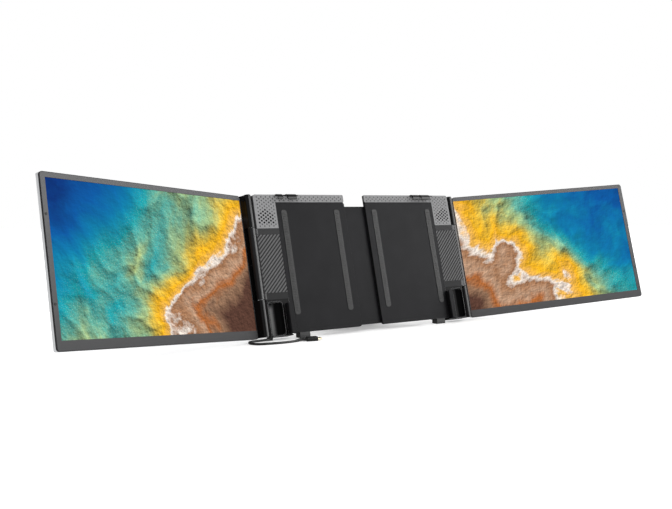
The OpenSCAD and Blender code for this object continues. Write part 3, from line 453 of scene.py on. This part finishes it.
def blasted_tray(side):
    """Blasted alloy with dark, bead-rolled corners, and a black lip against the bezel."""
    tray = Recipe(side + "_blasted_alloy", Specular_IOR_Level=0.1)
    tray_edge, tray_normal = tray.edges(0.0007)
    blast = tray.noise(2800.0, 3.0)
    cloud = tray.noise(14.0, 3.0)
    rearward = on_screen(side, 0, 1, 0) - on_screen(side, 0, 0, 0)
    from_face = tray.math("SUBTRACT", tray.add(
        "ShaderNodeVectorMath", {"operation": "DOT_PRODUCT"}, i0=tray.place,
        i1=tuple(rearward)).outputs["Value"], on_screen(side, 0, face_depth[side], 0).dot(rearward))
    lip = tray.spread(from_face, 0.0024, 0.0026, 1.0, 0.0)
    alloy = tray.mix(tray_edge, tray.mix(cloud, (0.44, 0.445, 0.455, 1), (0.5, 0.505, 0.515, 1)),
                     (0.2, 0.205, 0.22, 1))
    tray.set(
        Base_Color=tray.mix(lip, alloy, (0.004, 0.004, 0.005, 1)),
        Metallic=tray.math("SUBTRACT", 1.0, lip),
        Roughness=tray.spread(blast, 0.3, 0.7, 0.34, 0.44),
        Normal=tray.bump(blast, 0.00003, tray_normal))
    return tray


backlight = Recipe("panel_can", Roughness=0.35)
backlight.set(Base_Color=backlight.mix(backlight.noise(220.0), (0.012, 0.012, 0.013, 1),
                                       (0.02, 0.02, 0.022, 1)))

rubber = Recipe("soft_rubber", Roughness=0.75, Specular_IOR_Level=0.3)
rub = rubber.noise(1400.0, 4.0)
rubber.set(
    Base_Color=rubber.mix(rubber.noise(120.0, 3.0), (0.012, 0.012, 0.012, 1),
                          (0.022, 0.022, 0.022, 1)),
    Normal=rubber.bump(rub, 0.00006))

for side in ("left", "right"):
    dress(parts[side + "_bezel"], bezel.material)
    dress(parts[side + "_back_cover"], blasted_tray(side).material)
    dress(parts[side + "_lcd_panel"], backlight.material)
    dress(parts[side + "_bumpers"], rubber.material)

# ---- Keys and boards ----
# Two satin keys stand on each screen's top edge. The boards are green laminate with a pattern of
# paler green tracks.
key = Recipe("key_moulding", Roughness=0.4)
key_edge, key_normal = key.edges(0.0003)
key.set(
    Base_Color=key.mix(key_edge, (0.04, 0.04, 0.043, 1), (0.12, 0.12, 0.125, 1)),
    Normal=key.bump(key.noise(3000.0), 0.00003, key_normal))

board = Recipe("board_laminate", Roughness=0.35)
tracks = board.add("ShaderNodeTexBrick", {"offset": 0.3},
                   Vector=board.turned((math.pi / 2 - lean, 0, 0)), Scale=260.0, Mortar_Size=0.03,
                   Color1=(0.01, 0.10, 0.04, 1), Color2=(0.012, 0.14, 0.055, 1),
                   Mortar=(0.10, 0.30, 0.14, 1)).outputs[0]
board.set(Base_Color=tracks, Normal=board.bump(board.noise(1500.0), 0.00005))

for side in ("left", "right"):
    dress(parts[side + "_power_key"], key.material)
    dress(parts[side + "_menu_key"], key.material)
    dress(parts[side + "_driver_board"], board.material)
    dress(parts[side + "_control_board"], board.material)

# ---- Screen knuckles ----
# Glossy black mouldings: a barrel on the hinge pin, with the arm that takes the screen's edge.
# Polished in the mould, they pick up smudges where a hand swings the screen.
gloss = Recipe("polished_moulding", Specular_IOR_Level=0.1)
gloss_edge, gloss_normal = gloss.edges(0.0004)
smudge = gloss.noise(55.0, 4.0, rough=0.6)
gloss.set(
    Base_Color=gloss.mix(gloss_edge, (0.003, 0.003, 0.0032, 1), (0.02, 0.02, 0.021, 1)),
    Roughness=gloss.spread(smudge, 0.35, 0.75, 0.06, 0.14),
    Normal=gloss.bump(gloss.noise(240.0, 2.0), 0.00002, gloss_normal))
for side in ("left", "right"):
    for name in ("upper_knuckle", "lower_knuckle", "claw"):
        dress(parts[f"{side}_{name}"], gloss.material)

# ---- Frame halves ----
# Each half is one alloy casting, column and half plate, with a fine black coat that has rubbed
# thin along its edges. A satin moulding covers its front, a second one its rear.
coat = Recipe("coated_casting", Specular_IOR_Level=0.03, Coat_Roughness=0.11, Coat_IOR=1.2)
coat_edge, coat_normal = coat.edges(0.0004)
sand = coat.noise(1900.0, 3.0)
wear = coat.math("MULTIPLY", coat_edge, coat.spread(coat.noise(90.0, 4.0), 0.4, 0.65, 0.2, 1.0))
aside = coat.math("ABSOLUTE", coat.add("ShaderNodeSeparateXYZ", Vector=coat.place).outputs[0])
barrel = coat.spread(aside, 0.1962, 0.1966, 0.0, 1.0)
coat.set(
    Base_Color=coat.mix(wear, coat.mix(coat.noise(30.0), (0.004, 0.004, 0.0045, 1),
                                       (0.009, 0.009, 0.01, 1)), (0.06, 0.06, 0.065, 1)),
    Roughness=coat.spread(sand, 0.3, 0.7, 0.38, 0.5),
    Coat_Weight=barrel,
    Normal=coat.bump(sand, 0.00004, coat_normal))

# Below the lower band the moulding is polished. There its edges carry a painted highlight, a pale
# line, and the trough's wall that faces right carries painted light, a paler grey as if lit from
# the right
satin = Recipe("satin_moulding", Specular_IOR_Level=0.02)
spark = satin.noise(3000.0, 2.0)
in_frame = satin.add("ShaderNodeSeparateXYZ", Vector=satin.turned((lean, 0, 0))).outputs
up_frame, hollow = in_frame[2], in_frame[1]
polished = satin.math("LESS_THAN", up_frame, 0.0605)
satin_edge_wear_and_highlight, satin_normal = satin.edges(satin.spread(polished, 0.0, 1.0, 0.0004, 0.0009))
# Painted shade: the satin is painted darker towards the bottom, 0.036 at the top down to 0.021; the
# slow noise over it is random tone
satin_tone_with_painted_shade = satin.mix(satin.spread(up_frame, 0.06, 0.17, 0.0, 1.0), (0.021, 0.021, 0.0215, 1),
                       (0.036, 0.036, 0.037, 1))
satin_tone_with_painted_shade = satin.mix(satin.spread(satin.noise(25.0), 0.3, 0.7, 0.0, 0.25), satin_tone_with_painted_shade,
                       (0.02, 0.02, 0.021, 1))
rightward = satin.add("ShaderNodeSeparateXYZ",
                      Vector=satin.add("ShaderNodeNewGeometry").outputs["Normal"]).outputs[0]
# Painted light: where the normal turns right, inside the trough and below 54 mm, the polished black
# is painted pale grey (0.2)
painted_trough_light = satin.math("MULTIPLY", satin.spread(rightward, -0.05, 0.3, 0.0, 1.0),
                  satin.spread(hollow, -0.001, 0.001, 0.0, 1.0))
painted_trough_light = satin.math("MULTIPLY", painted_trough_light, satin.spread(up_frame, 0.047, 0.054, 1.0, 0.0))
polished_black_and_painted_light = satin.mix(painted_trough_light, (0.002, 0.002, 0.0022, 1), (0.2, 0.2, 0.2, 1))
satin.set(
    # Painted highlight: in the polished zone the edges are painted pale (0.3) as a light rim line;
    # elsewhere the paler edges (0.08) are wear
    Base_Color=satin.mix(
        satin_edge_wear_and_highlight, satin.mix(polished, satin_tone_with_painted_shade, polished_black_and_painted_light),
        satin.mix(polished, (0.08, 0.08, 0.082, 1), (0.3, 0.3, 0.305, 1))),
    Roughness=satin.math("MULTIPLY", satin.spread(spark, 0.3, 0.7, 0.34, 0.46),
                         satin.spread(polished, 0.0, 1.0, 1.0, 0.4)),
    Normal=satin.bump(spark, 0.00002, satin_normal))

# Painted light and shade on the ribs: their crests are painted pale and the grooves between them
# dark
ribbed = Recipe("ribbed_moulding", Roughness=0.45, Specular_IOR_Level=0.01)
rib_normal = ribbed.edges(0.0002)[1]
depth = ribbed.add("ShaderNodeSeparateXYZ", Vector=ribbed.turned((lean, 0, 0))).outputs[1]
lit_crests_shaded_grooves = ribbed.spread(depth, -0.00095, -0.00125, 0.0, 1.0)
ribbed.set(
    Base_Color=ribbed.mix(lit_crests_shaded_grooves, (0.034, 0.034, 0.035, 1), (0.145, 0.145, 0.147, 1)),
    Normal=ribbed.bump(ribbed.noise(2600.0), 0.00003, rib_normal))

# The panel is brushed. Painted shade: the sound holes' walls are painted black, a black ring wider
# than each hole is painted round its rim, and the dimples round them are shallow, painted a paler
# dark grey inside
hole_pitch, row_pitch, first_row = 0.008, 0.0028, 0.171
field_middle, field_half, field_foot = 0.178, 0.0138, 0.1694
# Radius of the black ring painted round each sound hole as shade
painted_ring_radius = 0.00165
panel = Recipe("dimpled_panel", Roughness=0.45, Specular_IOR_Level=0.01)
panel_edge_painted_shade, panel_normal = panel.edges(0.0004)
brush = panel.noise(1500.0, 3.0, panel.turned((0, 0, 0), (0.12, 1, 1)))
from_world = panel.add("ShaderNodeSeparateXYZ", Vector=panel.turned((lean, 0, 0))).outputs
outward = panel.math("ABSOLUTE", from_world[0])
row_height = panel.math("SUBTRACT", from_world[2], 0.0056)
upper_right = panel.math("MULTIPLY", panel.math("GREATER_THAN", from_world[0], 0.0),
                         panel.math("GREATER_THAN", row_height, 0.1836))
from_middle = panel.math("ABSOLUTE", panel.math(
    "SUBTRACT", outward, panel.math("MULTIPLY_ADD", upper_right, hole_pitch / 2, field_middle)))
reach = panel.math("MINIMUM", panel.math("MULTIPLY_ADD", row_height, -hole_pitch / 2 / row_pitch,
                                         0.2741), field_half)
sound = panel.math("MULTIPLY", panel.math("LESS_THAN", from_middle, reach),
                   panel.math("GREATER_THAN", row_height, field_foot))
row = panel.math("DIVIDE", panel.math("SUBTRACT", row_height, first_row), row_pitch)
nearest = panel.math("ROUND", row)
even = panel.math("FLOORED_MODULO", panel.math(
    "ADD", nearest, panel.math("GREATER_THAN", from_world[0], 0.0)), 2.0)
along_row = panel.math("MULTIPLY_ADD", even, hole_pitch / 2,
                       panel.math("SUBTRACT", outward, field_middle))
off_hole = panel.math("SUBTRACT", panel.math("FLOORED_MODULO", along_row, hole_pitch),
                      hole_pitch / 2)
off_row = panel.math("MULTIPLY", panel.math("SUBTRACT", row, nearest), row_pitch)
from_hole = panel.math("SQRT", panel.math("MULTIPLY_ADD", off_hole, off_hole,
                                          panel.math("MULTIPLY", off_row, off_row)))
in_painted_ring = panel.math("LESS_THAN", from_hole, painted_ring_radius)
# Painted shade: faces deeper than 1.1 mm, the holes' walls and the dimples' floors, are painted
# dark
painted_pit_shade = panel.math("MAXIMUM", panel.spread(from_world[1], -0.0013, -0.0011, 0.0, 1.0),
                 panel.math("MULTIPLY", sound, in_painted_ring))
panel_tone_with_painted_shade = panel.mix(painted_pit_shade, panel.mix(brush, (0.27, 0.27, 0.274, 1), (0.32, 0.32, 0.325, 1)),
                       panel.mix(sound, (0.11, 0.11, 0.112, 1), (0.001, 0.001, 0.001, 1)))
# Painted shade: edges are painted darker, near black round the sound holes
panel.set(
    Base_Color=panel.mix(panel_edge_painted_shade, panel_tone_with_painted_shade, panel.mix(sound, (0.2, 0.2, 0.204, 1),
                                                           (0.012, 0.012, 0.012, 1))),
    Normal=panel.bump(brush, 0.00002, panel_normal))

steel = Recipe("bright_steel", Metallic=1.0)
turned_marks = steel.noise(2400.0, 2.0, steel.turned((0, 0, 0), (0.04, 1, 1)))
steel.set(
    Base_Color=steel.mix(turned_marks, (0.3, 0.305, 0.32, 1), (0.42, 0.425, 0.44, 1)),
    Roughness=steel.spread(turned_marks, 0.3, 0.7, 0.2, 0.36),
    Normal=steel.bump(turned_marks, 0.00002))

cone = Recipe("speaker_cone", Roughness=0.6)
cone.set(Base_Color=cone.mix(cone.noise(700.0), (0.008, 0.008, 0.009, 1), (0.016, 0.016, 0.017, 1)),
         Normal=cone.bump(cone.noise(1800.0, 3.0), 0.00008))

for side in ("left", "right"):
    for name, recipe in (("frame_shell", coat), ("jaw", coat),
                         ("front_trim", satin), ("rear_cover", satin),
                         ("rib_pad", ribbed), ("grille_panel", panel), ("speaker", cone),
                         ("cover_screws", steel), ("hinge_pins", steel), ("claw_pin", steel),
                         ("slide_bars", steel), ("lid_pads", rubber), ("foot", rubber)):
        dress(parts[f"{side}_{name}"], recipe.material)
dress(parts["cable_gland"], sheath.material)


def on_front(x, y, z):
    """World place of a point given in the leaning frame, in metres."""
    return Vector((x, y * math.cos(lean) + z * math.sin(lean),
                   stand_height - y * math.sin(lean) + z * math.cos(lean)))


# The soft pads behind the lid are moulded with small cross bars
pad_middles = {"left": (-0.145, -0.046), "right": (0.03, 0.145)}
pad_face, pad_foot, pad_head = -0.0007, 0.036, 0.184
for side, middles in pad_middles.items():
    bars = row_of_humps(side + "_pad_bars",
                        [[on_front(x, pad_face, z) for z in (pad_foot, pad_head)]
                         for x in middles],
                        side + "_frame", rubber.material, Pitch=0.004,
                        Size=(0.0036, 0.00035, 0.0009), Tip=1.0, Turn=(lean, 0, 0), Follow=False)

# ---- Bridge and kickstand ----
# The two halves slide in a flat housing. A steel stand with a powder coat folds into its back, on
# one long pin, and a rubber strip keeps it from slipping.
powder = Recipe("powder_coat", Specular_IOR_Level=0.2)
powder_edge, powder_normal = powder.edges(0.0004)
peel = powder.noise(700.0, 2.0)
powder.set(
    Base_Color=powder.mix(
        powder_edge, powder.mix(powder.noise(40.0), (0.026, 0.0265, 0.028, 1),
                                (0.036, 0.0365, 0.038, 1)), (0.16, 0.16, 0.17, 1)),
    Roughness=powder.spread(peel, 0.3, 0.7, 0.36, 0.5),
    Normal=powder.bump(peel, 0.00008, powder_normal))
for name, recipe in (("bridge_front", coat), ("bridge_rear", coat), ("kickstand", powder),
                     ("kickstand_pin", steel), ("kickstand_foot", rubber)):
    dress(parts[name], recipe.material)

# ---- Desk and light ----
# A pale desk in a white room, lit by three soft boxes. Two more boxes only show as reflections,
# which run down the barrels as bright stripes.
desk_half = 6
desk_mesh = bpy.data.meshes.new("desk")
desk_mesh.from_pydata([(-desk_half, -desk_half, 0), (desk_half, -desk_half, 0),
                       (desk_half, desk_half, 0), (-desk_half, desk_half, 0)], [], [(0, 1, 2, 3)])
desk = bpy.data.objects.new("desk", desk_mesh)
scene.collection.objects.link(desk)
top = Recipe("pale_desk", Base_Color=(0.86, 0.86, 0.86, 1), Roughness=0.9,
             Emission_Color=(1, 1, 1, 1))
seen = top.add("ShaderNodeLightPath").outputs
far = top.spread(top.add("ShaderNodeVectorMath", {"operation": "LENGTH"},
                         i0=top.place).outputs["Value"], 0.7, 2.2, 0.3, 1.0)
lift = top.math("MULTIPLY", far, top.math("MAXIMUM", seen["Is Camera Ray"], seen["Is Glossy Ray"]))
top.set(Emission_Strength=lift)
desk.data.materials.append(top.material)

room = bpy.data.worlds.new("room")
room.use_nodes = True
scene.world = room
sky = room.node_tree.nodes["Background"]
sky.inputs["Color"].default_value = (1, 1, 1, 1)
path = room.node_tree.nodes.new("ShaderNodeLightPath").outputs
reach_eye = path["Is Camera Ray"]
for ray in ("Is Glossy Ray", "Is Transmission Ray"):
    either = room.node_tree.nodes.new("ShaderNodeMath")
    either.operation = "MAXIMUM"
    room.node_tree.links.new(reach_eye, either.inputs[0])
    room.node_tree.links.new(path[ray], either.inputs[1])
    reach_eye = either.outputs[0]
level = room.node_tree.nodes.new("ShaderNodeMapRange")
room.node_tree.links.new(reach_eye, level.inputs["Value"])
level.inputs["To Min"].default_value = 0.62
room.node_tree.links.new(level.outputs[0], sky.inputs["Strength"])


def soft_box(name, place, aim, wide, high, power, mirrored):
    """A lamp that either lights the surfaces or is only mirrored in polished ones."""
    lamp = bpy.data.lights.new(name, "AREA")
    lamp.shape = "RECTANGLE"
    lamp.size, lamp.size_y, lamp.energy = wide, high, power
    holder = bpy.data.objects.new(name, lamp)
    scene.collection.objects.link(holder)
    holder.location = place
    holder.rotation_euler = (Vector(aim) - Vector(place)).to_track_quat("-Z", "Y").to_euler()
    holder.visible_camera = False
    holder.visible_diffuse = not mirrored
    holder.visible_glossy = mirrored


soft_box("left_box", (-1.6, -1.3, 1.2), (0, 0, 0.1), 0.5, 1.2, 14, False)
soft_box("right_box", (1.7, -1.5, 1.3), (0, 0, 0.1), 0.6, 1.2, 12, False)
soft_box("top_box", (0.1, 0.6, 1.9), (0, 0, 0.1), 1.4, 0.6, 16, False)
soft_box("front_strip", (0.7, -1.05, 0.66), (0, -0.54, 0.66), 1.36, 0.86, 44, True)
soft_box("right_strip", (1.3, -0.27, 0.32), (0.4, 0.54, 0.32), 0.6, 0.62, 14, True)

scene.view_settings.view_transform = "Standard"
